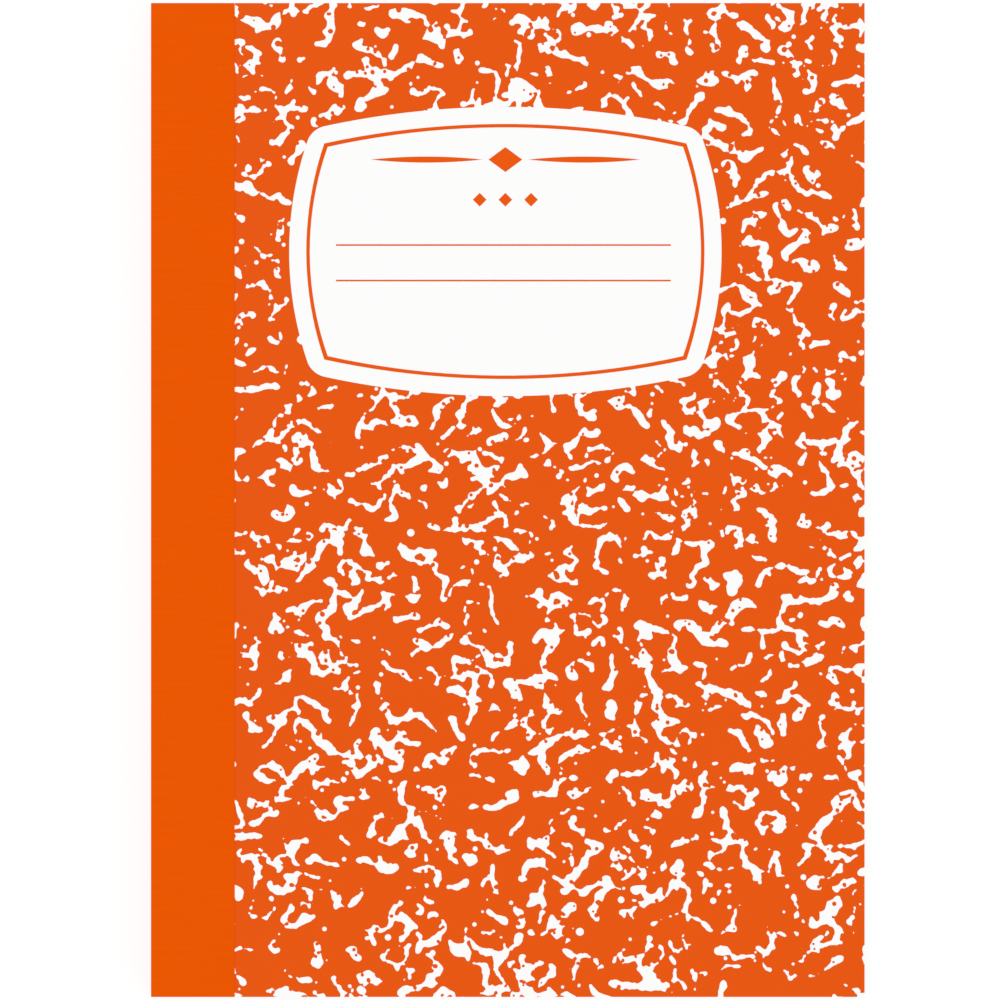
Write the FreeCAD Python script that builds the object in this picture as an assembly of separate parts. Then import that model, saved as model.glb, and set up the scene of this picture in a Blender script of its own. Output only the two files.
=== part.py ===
import FreeCAD, Part
import math
import os
import random

# Composition notebook lying closed on its back cover, in millimetres.
# +Z points out of the front cover, +Y to the head, and the taped spine is on -X.
# The origin is the middle of the book's outline, on the surface it lies on.

# Trimmed book
cover_height = 247.65
cover_width = 177.8  # from the outside of the spine tape to the fore edge
leaf_count = 100
leaf_thickness = 0.082
fold_radius = 1.6  # bend of the outermost leaf on each side of the spine

# Each cover, from the pages outwards
endpaper_thickness = 0.1
board_thickness = 0.85
cover_sheet_thickness = 0.12

# Cloth tape round the spine
tape_thickness = 0.2
tape_width_on_cover = 20.85
hinge_clearance = 0.05  # hinge line outside the tape, so an opened cover clears the spine

# Sewing through the centre fold
thread_diameter = 0.6
thread_clearance = 0.08
thread_inset = 0.02  # thread below the spine's surface
stitch_count = 13
sewing_margin = 12.0  # from the head and from the tail to the first stitch

# Printed label, a barrel shape with bowed sides
print_thickness = 0.03
label_shift_x = -0.6
label_from_head = 61.9  # from the head to the label's middle
frame_mid_width = 98.35
frame_mid_height = 62.7
frame_corner_width = 89.4
frame_corner_height = 53.0
frame_line_width = 0.85
label_border = 4.7  # white field outside the frame line
label_corner_radius = 3.5

# Writing rules on the label, each given by its height above the label's middle
rule_length = 83.4
rule_shift_x = -0.5
rule_width = 0.3
rule_heights = (1.6, -7.25)

# Ornament at the head of the label: a lozenge between two swelled rules, over three small lozenges
ornament_height = 22.9
ornament_width = 67.0
lozenge_width = 8.4
lozenge_height = 6.2
swelled_rule_width = 1.5
ornament_gap = 1.6
small_lozenge_height = 12.9
small_lozenge_size = 3.4
small_lozenge_pitch = 6.4

# Marbled flecks printed on the front cover sheet
fleck_lengths = (20.0, 12.0, 5.5)
fleck_try_count = (90, 150, 190)
fleck_branch_count = (1, 2, 0)  # most branches of a long, a middling and a short fleck
fleck_width = 2.2
fleck_swell = (0.55, 1.45)  # narrowest and widest place, over the width
fleck_knob_spacing = 2.7
fleck_bend = 38.0  # degrees, most between one knob and the next
fleck_gap = 0.5
fleck_seed = 11

# Planes worked out from the sizes above
spine_outer_x = -cover_width / 2
spine_x = spine_outer_x + tape_thickness
fore_edge_x = cover_width / 2
tape_edge_x = spine_outer_x + tape_width_on_cover
tail_y = -cover_height / 2
label_shift_y = cover_height / 2 - label_from_head
block_thickness = leaf_count * leaf_thickness
cover_thickness = endpaper_thickness + board_thickness + cover_sheet_thickness + tape_thickness
block_middle_z = cover_thickness + block_thickness / 2
board_depth = endpaper_thickness
sheet_depth = board_depth + board_thickness
surface_depth = sheet_depth + cover_sheet_thickness
print_z = block_middle_z + block_thickness / 2 + surface_depth

FRONT = 1
BACK = -1


def height_outside(side, depth):
    """Height of the plane this far outside the pages' front or back face."""
    return block_middle_z + side * (block_thickness / 2 + depth)


def slab(low_x, high_x, side, depth, thickness):
    """Flat layer of a cover, over the book's full height."""
    first = height_outside(side, depth)
    second = height_outside(side, depth + thickness)
    corner = FreeCAD.Vector(low_x, tail_y, min(first, second))
    return Part.makeBox(high_x - low_x, cover_height, thickness, corner)


def closed_face(edges):
    return Part.Face(Part.Wire(edges))


def arc_through(start, middle, end):
    return Part.Arc(start, middle, end).toShape()


def line(start, end):
    return Part.LineSegment(start, end).toShape()


# Pages and sewing


def thread_corners():
    """Corners of the thread's way: outside the fold and inside it by turns."""
    z = block_middle_z
    outer_x = spine_x + thread_inset + thread_diameter / 2
    inner_x = spine_x + block_thickness / 2  # the folded leaves are half the block deep here
    stitch_length = (cover_height - 2 * sewing_margin) / stitch_count
    corners = [FreeCAD.Vector(outer_x, tail_y + sewing_margin, z)]
    for stitch in range(1, stitch_count):
        y = tail_y + sewing_margin + stitch * stitch_length
        passes = (outer_x, inner_x) if stitch % 2 else (inner_x, outer_x)
        corners += [FreeCAD.Vector(x, y, z) for x in passes]
    corners.append(FreeCAD.Vector(corners[-1].x, -tail_y - sewing_margin, z))
    return corners


def sewing_thread():
    """Round thread pulled tight: it turns at a right angle wherever it goes into the fold."""
    corners = thread_corners()
    ring = Part.Circle(corners[0], FreeCAD.Vector(0, 1, 0), thread_diameter / 2).toShape()
    right_corners = 1
    return Part.makePolygon(corners).makePipeShell([Part.Wire(ring)], True, False, right_corners)


def sewing_channel():
    """Square legs round every stretch of the thread, clear of it all round."""
    reach = thread_diameter / 2 + thread_clearance
    margin = FreeCAD.Vector(reach, reach, reach)
    legs = []
    corners = thread_corners()
    for start, end in zip(corners, corners[1:]):
        low = FreeCAD.Vector(min(start.x, end.x), min(start.y, end.y), start.z) - margin
        high = FreeCAD.Vector(max(start.x, end.x), max(start.y, end.y), start.z) + margin
        size = high - low
        legs.append(Part.makeBox(size.x, size.y, size.z, low))
    return legs[0].fuse(legs[1:]).removeSplitter()


def text_block():
    """Folded leaves nested into one section: flat at the fore edge, bent round at the spine."""
    low_z = height_outside(BACK, 0)
    high_z = height_outside(FRONT, 0)
    bend = fold_radius
    bend_middle = bend * (1 - math.sqrt(0.5))

    def point(x, z):
        return FreeCAD.Vector(x, tail_y, z)

    section = closed_face(
        [
            line(point(spine_x + bend, low_z), point(fore_edge_x, low_z)),
            line(point(fore_edge_x, low_z), point(fore_edge_x, high_z)),
            line(point(fore_edge_x, high_z), point(spine_x + bend, high_z)),
            arc_through(
                point(spine_x + bend, high_z),
                point(spine_x + bend_middle, high_z - bend_middle),
                point(spine_x, high_z - bend),
            ),
            line(point(spine_x, high_z - bend), point(spine_x, low_z + bend)),
            arc_through(
                point(spine_x, low_z + bend),
                point(spine_x + bend_middle, low_z + bend_middle),
                point(spine_x + bend, low_z),
            ),
        ]
    )
    pages = section.extrude(FreeCAD.Vector(0, cover_height, 0))
    return pages.cut(sewing_channel())


# Covers and spine tape


def endpaper(side):
    return slab(spine_x, fore_edge_x, side, 0, endpaper_thickness)


def board(side):
    return slab(spine_x, fore_edge_x, side, board_depth, board_thickness)


def cover_sheet(side):
    """Sheet over the whole board. It runs on under the tape, and its bare field stays a face of its own."""
    under_tape = slab(spine_x, tape_edge_x, side, sheet_depth, cover_sheet_thickness)
    bare_field = slab(tape_edge_x, fore_edge_x, side, sheet_depth, cover_sheet_thickness)
    return under_tape.fuse(bare_field)


def tape_flap(side):
    """Tape from the hinge, round the cover's spine edge and over the cover to the tape's edge."""
    hinge_z = height_outside(side, 0)
    inner_z = height_outside(side, surface_depth)
    outer_z = height_outside(side, surface_depth + tape_thickness)
    bend = tape_thickness * math.sqrt(0.5)

    def point(x, z):
        return FreeCAD.Vector(x, tail_y, z)

    section = closed_face(
        [
            line(point(spine_x, hinge_z), point(spine_outer_x, hinge_z)),
            line(point(spine_outer_x, hinge_z), point(spine_outer_x, inner_z)),
            arc_through(
                point(spine_outer_x, inner_z),
                point(spine_x - bend, inner_z + side * bend),
                point(spine_x, outer_z),
            ),
            line(point(spine_x, outer_z), point(tape_edge_x, outer_z)),
            line(point(tape_edge_x, outer_z), point(tape_edge_x, inner_z)),
            line(point(tape_edge_x, inner_z), point(spine_x, inner_z)),
            line(point(spine_x, inner_z), point(spine_x, hinge_z)),
        ]
    )
    return section.extrude(FreeCAD.Vector(0, cover_height, 0))


def spine_tape():
    corner = FreeCAD.Vector(spine_outer_x, tail_y, height_outside(BACK, 0))
    return Part.makeBox(tape_thickness, cover_height, block_thickness, corner)


# Print on the front cover sheet


def barrel_wire(mid_width, mid_height, corner_width, corner_height, z):
    """Four bowed sides, each an arc through the middle of a side and the two corners beside it."""

    def point(x, y):
        return FreeCAD.Vector(label_shift_x + x, label_shift_y + y, z)

    right = corner_width / 2
    top = corner_height / 2
    return Part.Wire(
        [
            arc_through(point(-right, top), point(0, mid_height / 2), point(right, top)),
            arc_through(point(right, top), point(mid_width / 2, 0), point(right, -top)),
            arc_through(point(right, -top), point(0, -mid_height / 2), point(-right, -top)),
            arc_through(point(-right, -top), point(-mid_width / 2, 0), point(-right, top)),
        ]
    )


def frame_barrel(outset, z):
    """The label's frame, moved outwards all round by this much."""
    return barrel_wire(
        frame_mid_width + 2 * outset,
        frame_mid_height + 2 * outset,
        frame_corner_width + 2 * outset,
        frame_corner_height + 2 * outset,
        z,
    )


def up(thickness=print_thickness):
    return FreeCAD.Vector(0, 0, thickness)


def label_field():
    field = Part.Face(frame_barrel(label_border, print_z)).extrude(up())
    corners = [edge for edge in field.Edges if len(edge.Vertexes) == 2 and is_upright(edge)]
    return field.makeFillet(label_corner_radius, corners)


def is_upright(edge):
    first, second = (vertex.Point for vertex in edge.Vertexes)
    return abs(first.z - second.z) > print_thickness / 2 and abs(first.x - second.x) < print_thickness


def label_frame_line():
    z = print_z + print_thickness
    outside = Part.Face(frame_barrel(frame_line_width / 2, z)).extrude(up())
    inside = Part.Face(frame_barrel(-frame_line_width / 2, z)).extrude(up())
    return outside.cut(inside)


def label_writing_rules():
    rules = []
    for rule_height in rule_heights:
        corner = FreeCAD.Vector(
            label_shift_x + rule_shift_x - rule_length / 2,
            label_shift_y + rule_height - rule_width / 2,
            print_z + print_thickness,
        )
        rules.append(Part.makeBox(rule_length, rule_width, print_thickness, corner))
    return Part.makeCompound(rules)


def lozenge(x, y, width, height):
    z = print_z + print_thickness
    corners = [(x - width / 2, y), (x, y + height / 2), (x + width / 2, y), (x, y - height / 2)]
    points = [FreeCAD.Vector(label_shift_x + px, label_shift_y + py, z) for px, py in corners]
    return Part.Face(Part.makePolygon(points + points[:1])).extrude(up())


def pointed_stroke(length, upper_bow, lower_bow, z):
    """Two arcs that meet in points at both ends: a swelled rule, or a crescent when both bow one way."""
    left = FreeCAD.Vector(-length / 2, 0, z)
    right = FreeCAD.Vector(length / 2, 0, z)
    upper = arc_through(left, FreeCAD.Vector(0, upper_bow, z), right)
    lower = arc_through(right, FreeCAD.Vector(0, lower_bow, z), left)
    return closed_face([upper, lower]).extrude(up())


def label_ornament():
    pieces = [lozenge(0, ornament_height, lozenge_width, lozenge_height)]
    rule_start = lozenge_width / 2 + ornament_gap
    swelled_length = ornament_width / 2 - rule_start
    half_swell = swelled_rule_width / 2
    for side in (-1, 1):
        rule = pointed_stroke(swelled_length, half_swell, -half_swell, print_z + print_thickness)
        rule_middle = side * (rule_start + swelled_length / 2)
        rule.translate(FreeCAD.Vector(label_shift_x + rule_middle, label_shift_y + ornament_height, 0))
        pieces.append(rule)
    for step in (-1, 0, 1):
        x = step * small_lozenge_pitch
        pieces.append(lozenge(x, small_lozenge_height, small_lozenge_size, small_lozenge_size))
    return Part.makeCompound(pieces)


def heading(turn):
    return FreeCAD.Vector(math.cos(math.radians(turn)), math.sin(math.radians(turn)), 0)


def knobby_stroke(choose, start, turn, length):
    """Stroke that wanders and swells from knob to knob, with a blunt tip at each end."""
    steps = max(2, round(length / fleck_knob_spacing))
    way = [start]
    turns = []
    for step in range(steps):
        turns.append(turn)
        way.append(way[-1] + heading(turn) * (length / steps))
        turn += choose.uniform(-fleck_bend, fleck_bend)
    left, right = [], []
    for place, before, after in zip(way, turns[:1] + turns, turns + turns[-1:]):
        across = heading((before + after) / 2 + 90) * (fleck_width / 2 * choose.uniform(*fleck_swell))
        left.append(place + across)
        right.insert(0, place - across)
    tip = fleck_width / 3
    outline = [way[0] - heading(turns[0]) * tip, *left, way[-1] + heading(turns[-1]) * tip, *right]
    return way, Part.Face(Part.makePolygon(outline + outline[:1])).extrude(up())


def fleck(choose, length, most_branches):
    """White fleck of the marbling: a knobby stroke, and shorter ones that grow out of its sides."""
    turn = choose.uniform(0, 360)
    way, trunk = knobby_stroke(choose, FreeCAD.Vector(0, 0, print_z), turn, length)
    branches = []
    for branch in range(choose.randint(0, most_branches)):
        root = choose.choice(way[1:-1])
        branch_turn = turn + choose.choice((-1, 1)) * choose.uniform(60, 120)
        branches.append(knobby_stroke(choose, root, branch_turn, length * choose.uniform(0.35, 0.55))[1])
    shape = trunk.fuse(branches).removeSplitter() if branches else trunk
    middle = shape.BoundBox.Center
    shape.translate(FreeCAD.Vector(-middle.x, -middle.y, 0))
    return shape


def clear_of_label(x, y, reach):
    """True where a circle of this reach misses the label's white field."""
    off_x = abs(x - label_shift_x)
    off_y = abs(y - label_shift_y)
    tall = frame_mid_height / 2
    wide = frame_mid_width / 2
    side_bow = (frame_mid_width - frame_corner_width) / 2
    top_bow = (frame_mid_height - frame_corner_height) / 2
    half_width = wide - side_bow * min(off_y / tall, 1) ** 2 + label_border
    half_height = tall - top_bow * min(off_x / wide, 1) ** 2 + label_border
    return off_x > half_width + reach or off_y > half_height + reach


def front_marbling():
    """Flecks strewn over the bare field of the front sheet, the long ones first and short ones between."""
    choose = random.Random(fleck_seed)
    flecks = []
    for length, tries, branches in zip(fleck_lengths, fleck_try_count, fleck_branch_count):
        for attempt in range(tries):
            x = choose.uniform(tape_edge_x, fore_edge_x)
            y = choose.uniform(tail_y, -tail_y)
            if clear_of_label(x, y, length / 2):
                shape = fleck(choose, length * choose.uniform(0.75, 1.1), branches)
                shape.translate(FreeCAD.Vector(x, y, 0))
                if fleck_fits(shape, flecks):
                    flecks.append(shape)
    return Part.makeCompound(flecks)


def fleck_fits(shape, others):
    """True where a fleck keeps off the tape, the cover's edges, the label and the flecks before it."""
    box = shape.BoundBox
    inside_x = box.XMin > tape_edge_x + fleck_gap and box.XMax < fore_edge_x - fleck_gap
    inside_y = box.YMin > tail_y + fleck_gap and box.YMax < -tail_y - fleck_gap
    tips_clear = all(clear_of_label(vertex.X, vertex.Y, fleck_gap) for vertex in shape.Vertexes)
    if not (inside_x and inside_y and tips_clear):
        return False
    box.enlarge(fleck_gap)
    near = [other for other in others if box.intersect(other.BoundBox)]
    return all(shape.distToShape(other)[0] > fleck_gap for other in near)


def save(name, shape):
    shape.exportStep(os.path.join("parts", name + ".step"))
    print(name, len(shape.Solids), "solid(s)", round(shape.Volume, 2), "mm3")


os.makedirs("parts", exist_ok=True)
save("text_block", text_block())
save("sewing_thread", sewing_thread())
save("spine_tape", spine_tape())
for cover_name, cover_side in (("front", FRONT), ("back", BACK)):
    save(cover_name + "_endpaper", endpaper(cover_side))
    save(cover_name + "_board", board(cover_side))
    save(cover_name + "_cover_sheet", cover_sheet(cover_side))
    save(cover_name + "_tape_flap", tape_flap(cover_side))
save("front_marbling", front_marbling())
save("label_field", label_field())
save("label_frame_line", label_frame_line())
save("label_writing_rules", label_writing_rules())
save("label_ornament", label_ornament())

print("book thickness", round(2 * cover_thickness + block_thickness, 3))
print("front hinge at x", round(spine_outer_x - hinge_clearance, 3), "z", height_outside(FRONT, 0))
print("back hinge at x", round(spine_outer_x - hinge_clearance, 3), "z", height_outside(BACK, 0))
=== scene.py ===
import math

import bpy
import numpy as np
from mathutils.geometry import delaunay_2d_cdt
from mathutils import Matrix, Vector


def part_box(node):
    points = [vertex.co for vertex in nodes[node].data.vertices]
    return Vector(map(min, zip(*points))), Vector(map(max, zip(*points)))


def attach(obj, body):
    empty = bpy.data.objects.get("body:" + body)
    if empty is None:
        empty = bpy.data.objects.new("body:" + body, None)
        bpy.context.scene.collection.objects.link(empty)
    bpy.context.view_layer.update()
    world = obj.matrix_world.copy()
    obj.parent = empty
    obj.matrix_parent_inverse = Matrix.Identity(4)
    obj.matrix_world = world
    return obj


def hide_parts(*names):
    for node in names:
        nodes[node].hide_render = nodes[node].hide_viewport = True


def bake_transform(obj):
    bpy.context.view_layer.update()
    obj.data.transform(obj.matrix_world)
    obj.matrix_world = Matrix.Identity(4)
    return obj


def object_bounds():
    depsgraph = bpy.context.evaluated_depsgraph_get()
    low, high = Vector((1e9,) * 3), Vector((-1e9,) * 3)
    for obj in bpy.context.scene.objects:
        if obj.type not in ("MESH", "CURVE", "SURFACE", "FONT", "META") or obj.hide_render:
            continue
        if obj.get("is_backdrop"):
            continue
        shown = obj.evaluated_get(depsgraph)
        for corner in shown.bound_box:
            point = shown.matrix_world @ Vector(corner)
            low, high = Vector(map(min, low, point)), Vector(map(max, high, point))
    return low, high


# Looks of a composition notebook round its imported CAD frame, in metres.
# The closed book lies on its back cover: +Z out of the front, +Y to the head, spine on -X.

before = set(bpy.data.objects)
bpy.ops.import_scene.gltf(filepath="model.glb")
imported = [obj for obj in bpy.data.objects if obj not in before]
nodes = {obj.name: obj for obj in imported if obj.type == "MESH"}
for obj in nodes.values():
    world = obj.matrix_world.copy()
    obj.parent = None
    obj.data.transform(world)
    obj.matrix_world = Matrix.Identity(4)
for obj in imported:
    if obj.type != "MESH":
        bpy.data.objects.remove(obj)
cadLow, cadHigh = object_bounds()
mm = 0.001
print("frame loaded with", len(nodes), "nodes")

blockLow, blockHigh = (np.array(corner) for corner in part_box("text_block"))
sheetLow, sheetHigh = (np.array(corner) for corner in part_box("front_cover_sheet"))
backSheetLow = np.array(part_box("back_cover_sheet")[0])
flapLow, flapHigh = (np.array(corner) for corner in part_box("front_tape_flap"))
backFlapLow, backFlapHigh = (np.array(corner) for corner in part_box("back_tape_flap"))
labelLow, labelHigh = (np.array(corner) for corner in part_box("label_field"))
ruleLow, ruleHigh = (np.array(corner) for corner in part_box("label_writing_rules"))


# Camera straight above the front cover, and plain soft light

cameraView = {"lens": 250.0, "frameWidth": 0.24915, "centreX": -0.00194, "centreY": 0.0}

cameraData = bpy.data.cameras.new("photoCamera")
cameraData.lens = cameraView["lens"]
cameraData.clip_end = 20
cameraObject = bpy.data.objects.new("photoCamera", cameraData)
bpy.context.scene.collection.objects.link(cameraObject)
cameraDistance = cameraView["frameWidth"] * cameraData.lens / cameraData.sensor_width
cameraObject.location = (cameraView["centreX"], cameraView["centreY"], cadHigh.z + cameraDistance)
bpy.context.scene.camera = cameraObject
bpy.context.scene.view_settings.view_transform = "Standard"


def addNode(tree, kind, inputs=None, **settings):
    node = tree.nodes.new(kind)
    for key, value in settings.items():
        setattr(node, key, value)
    for socket, value in (inputs or {}).items():
        if isinstance(value, bpy.types.NodeSocket):
            tree.links.new(value, node.inputs[socket])
        else:
            node.inputs[socket].default_value = value
    return node


def numberMath(tree, operation, *values):
    # Output of a math node. Each value is a number or another node's output, as in the next two.
    return addNode(tree, "ShaderNodeMath", dict(enumerate(values)), operation=operation).outputs[0]


def vectorMath(tree, operation, first, second):
    secondSocket = "Scale" if operation == "SCALE" else 1
    return addNode(tree, "ShaderNodeVectorMath", {0: first, secondSocket: second}, operation=operation).outputs[0]


def mixOf(tree, kind, factor, first, second):
    # first where the factor is 0, second where it is 1.
    inputs = {"Factor": factor, "A": first, "B": second}
    return addNode(tree, "ShaderNodeMix", inputs, data_type=kind).outputs["Result"]


lighting = {
    "world": 0.63,
    "overhead": {"place": (-0.3, 0.45, 2.2), "size": 1.8, "share": 0.385},
    "side": {"place": (0.9, -0.9, 1.6), "size": 1.2, "share": 0.075},
}

world = bpy.data.worlds.new("paleRoom")
bpy.context.scene.world = world
world.use_nodes = True
world.node_tree.nodes.clear()
rayKind = addNode(world.node_tree, "ShaderNodeLightPath")
seenOrGloss = numberMath(
    world.node_tree, "MAXIMUM", rayKind.outputs["Is Camera Ray"], rayKind.outputs["Is Glossy Ray"]
)
seenAtAll = numberMath(world.node_tree, "MAXIMUM", seenOrGloss, rayKind.outputs["Is Transmission Ray"])
strength = addNode(
    world.node_tree,
    "ShaderNodeMapRange",
    {"Value": seenAtAll, "To Min": lighting["world"], "To Max": 1.0},
)
roomLight = addNode(
    world.node_tree,
    "ShaderNodeBackground",
    {"Color": (1, 1, 1, 1), "Strength": strength.outputs["Result"]},
)
addNode(world.node_tree, "ShaderNodeOutputWorld", {"Surface": roomLight.outputs[0]})


def addLamp(name, place, size, share):
    # A square lamp aimed at the book. share is the light it gives there, where 1 shows a white sheet as white.
    data = bpy.data.lights.new(name, "AREA")
    data.shape = "SQUARE"
    data.size = size
    distance = math.sqrt(sum(part * part for part in place))
    facing = place[2] / distance
    data.energy = share * math.pi * math.pi * distance * distance / facing
    lamp = bpy.data.objects.new(name, data)
    bpy.context.scene.collection.objects.link(lamp)
    lamp.location = place
    lamp.rotation_mode = "QUATERNION"
    lamp.rotation_quaternion = lamp.location.to_track_quat("Z", "Y")


addLamp("overheadLamp", **lighting["overhead"])
addLamp("sideLamp", **lighting["side"])
print("camera and light placed")


# Helpers for meshes worked out with numpy


def makePiece(name, points, faces, material, uv=None):
    # points has one row in metres for each corner, faces one row of corner numbers, uv one row for each point.
    faces = np.asarray(faces, dtype=np.int32)
    mesh = bpy.data.meshes.new(name)
    mesh.vertices.add(len(points))
    mesh.vertices.foreach_set("co", np.asarray(points, dtype=np.float32).ravel())
    mesh.loops.add(faces.size)
    mesh.loops.foreach_set("vertex_index", faces.ravel())
    mesh.polygons.add(len(faces))
    mesh.polygons.foreach_set("loop_start", np.arange(0, faces.size, faces.shape[1], dtype=np.int32))
    mesh.polygons.foreach_set("use_smooth", np.full(len(faces), False))
    if uv is not None:
        layer = mesh.uv_layers.new(name="surfaceMap")
        layer.data.foreach_set("uv", np.asarray(uv, dtype=np.float32)[faces.ravel()].ravel())
    mesh.update(calc_edges=True)
    mesh.materials.append(material)
    piece = bpy.data.objects.new(name, mesh)
    bpy.context.scene.collection.objects.link(piece)
    return piece


def gridFaces(rows, columns, start=0, flip=False):
    # Quads over a grid of rows x columns points that are numbered row by row.
    row, column = np.meshgrid(np.arange(rows - 1), np.arange(columns - 1), indexing="ij")
    first = (start + row * columns + column).ravel()
    quads = np.stack([first, first + 1, first + columns + 1, first + columns], axis=1)
    return quads[:, ::-1] if flip else quads


def asPoints(x, y, z):
    x, y, z = np.broadcast_arrays(x, y, z)
    return np.stack([x.ravel(), y.ravel(), z.ravel()], axis=1)


# Shader groups


def newGroup(name, inputs, outputs):
    tree = bpy.data.node_groups.new(name, "ShaderNodeTree")
    for socketName, kind, value in inputs:
        socket = tree.interface.new_socket(socketName, in_out="INPUT", socket_type=kind)
        if value is not None:
            socket.default_value = value
    for socketName, kind in outputs:
        tree.interface.new_socket(socketName, in_out="OUTPUT", socket_type=kind)
    return tree, tree.nodes.new("NodeGroupInput"), tree.nodes.new("NodeGroupOutput")


def paperGrainGroup():
    # Cloudy formation of the pulp and short fibres. Tone is about 1, Height runs from 0 to 1.
    tree, given, out = newGroup(
        "paperGrain",
        [
            ("Vector", "NodeSocketVector", None),
            ("Fibre Size", "NodeSocketFloat", 0.0004),
            ("Cloud Size", "NodeSocketFloat", 0.006),
            ("Contrast", "NodeSocketFloat", 0.03),
        ],
        [("Tone", "NodeSocketFloat"), ("Height", "NodeSocketFloat")],
    )
    place = given.outputs["Vector"]
    fibreScale = numberMath(tree, "DIVIDE", 1.0, given.outputs["Fibre Size"])
    cloudScale = numberMath(tree, "DIVIDE", 1.0, given.outputs["Cloud Size"])
    fibres = addNode(
        tree,
        "ShaderNodeTexNoise",
        {"Vector": place, "Scale": fibreScale, "Detail": 3.0, "Roughness": 0.6, "Distortion": 0.6},
    )
    clouds = addNode(
        tree,
        "ShaderNodeTexNoise",
        {"Vector": place, "Scale": cloudScale, "Detail": 2.0, "Roughness": 0.5},
    )
    both = numberMath(tree, "ADD", fibres.outputs["Fac"], clouds.outputs["Fac"])
    centred = numberMath(tree, "SUBTRACT", both, 1.0)
    tone = numberMath(tree, "MULTIPLY_ADD", centred, given.outputs["Contrast"], 1.0)
    tree.links.new(tone, out.inputs["Tone"])
    tree.links.new(fibres.outputs["Fac"], out.inputs["Height"])
    return tree


clothWeave = {
    "wobbleScale": 900.0,
    "wobble": 0.00016,
    "slubStretch": (60.0, 1400.0, 60.0),  # slubs are long along the spine's width and as thin as a thread
    # Painted shade: the next two darken the threads where they lie low in the weave
    "hollowShadeDepth": 0.12,
    "hollowShadeTone": 0.93,
}


def bookClothGroup():
    # Plain weave over a map in metres. Pitch is the width of one thread, Slub how much single threads thicken.
    # Height is the higher of two sets of threads, each a row of half rounds that dives under the other by turns.
    # Tone follows that height, darker where threads lie low: painted shade in the weave's hollows, plus the slubs.
    tree, given, out = newGroup(
        "bookCloth",
        [
            ("Vector", "NodeSocketVector", None),
            ("Pitch", "NodeSocketFloat", 0.00042),
            ("Slub", "NodeSocketFloat", 0.35),
        ],
        [("Tone", "NodeSocketFloat"), ("Height", "NodeSocketFloat")],
    )
    flat = given.outputs["Vector"]
    wobble = addNode(tree, "ShaderNodeTexNoise", {"Vector": flat, "Scale": clothWeave["wobbleScale"], "Detail": 2.0})
    moved = vectorMath(tree, "SUBTRACT", wobble.outputs["Color"], (0.5, 0.5, 0.5))
    place = vectorMath(tree, "ADD", flat, vectorMath(tree, "SCALE", moved, clothWeave["wobble"]))
    parts = addNode(tree, "ShaderNodeSeparateXYZ", {0: place})
    turns = []
    for axis in ("X", "Y"):
        inThreads = numberMath(tree, "DIVIDE", parts.outputs[axis], given.outputs["Pitch"])
        turns.append(numberMath(tree, "SINE", numberMath(tree, "MULTIPLY", inThreads, math.pi)))
    warp = numberMath(tree, "MULTIPLY_ADD", numberMath(tree, "MULTIPLY", *turns), 0.5, 0.5)
    rounds = [numberMath(tree, "ABSOLUTE", turn) for turn in turns]
    high = mixOf(tree, "FLOAT", warp, *rounds)
    slubPlace = vectorMath(tree, "MULTIPLY", flat, clothWeave["slubStretch"])
    slub = addNode(tree, "ShaderNodeTexNoise", {"Vector": slubPlace, "Scale": 1.0, "Detail": 2.0})
    slubTone = numberMath(tree, "SUBTRACT", slub.outputs["Fac"], 0.5)
    slubPart = numberMath(tree, "MULTIPLY", slubTone, given.outputs["Slub"])
    # Painted shade: thread colour darker towards the bottom of the weave, lighter on the crests
    paintedWeaveShade = numberMath(tree, "MULTIPLY_ADD", high, clothWeave["hollowShadeDepth"], clothWeave["hollowShadeTone"])
    tree.links.new(numberMath(tree, "ADD", paintedWeaveShade, slubPart), out.inputs["Tone"])
    tree.links.new(numberMath(tree, "ADD", high, slubPart), out.inputs["Height"])
    return tree


paperGrain = paperGrainGroup()
bookCloth = bookClothGroup()
print("shader groups made")


# Materials


def newMaterial(name, roughness, specular):
    material = bpy.data.materials.new(name)
    material.use_nodes = True
    tree = material.node_tree
    tree.nodes.clear()
    shader = addNode(tree, "ShaderNodeBsdfPrincipled", {"Roughness": roughness, "Specular IOR Level": specular})
    addNode(tree, "ShaderNodeOutputMaterial", {"Surface": shader.outputs[0]})
    return material, tree, shader


def placeGroup(tree, group, vector, **values):
    node = tree.nodes.new("ShaderNodeGroup")
    node.node_tree = group
    tree.links.new(vector, node.inputs["Vector"])
    for socket, value in values.items():
        node.inputs[socket.replace("_", " ")].default_value = value
    return node


def addBump(tree, shader, height, distance, bumpStrength=1.0):
    bump = addNode(tree, "ShaderNodeBump", {"Height": height, "Distance": distance, "Strength": bumpStrength})
    tree.links.new(bump.outputs[0], shader.inputs["Normal"])


def addColour(tree, shader, colour, tone):
    # The colour times a tone of about 1.
    tree.links.new(vectorMath(tree, "SCALE", colour, tone), shader.inputs["Base Color"])


printOrange = (0.79, 0.092, 0.0025)
tapeOrange = (0.812, 0.0935, 0.0)
pressboardBrown = (0.42, 0.38, 0.32)

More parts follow.
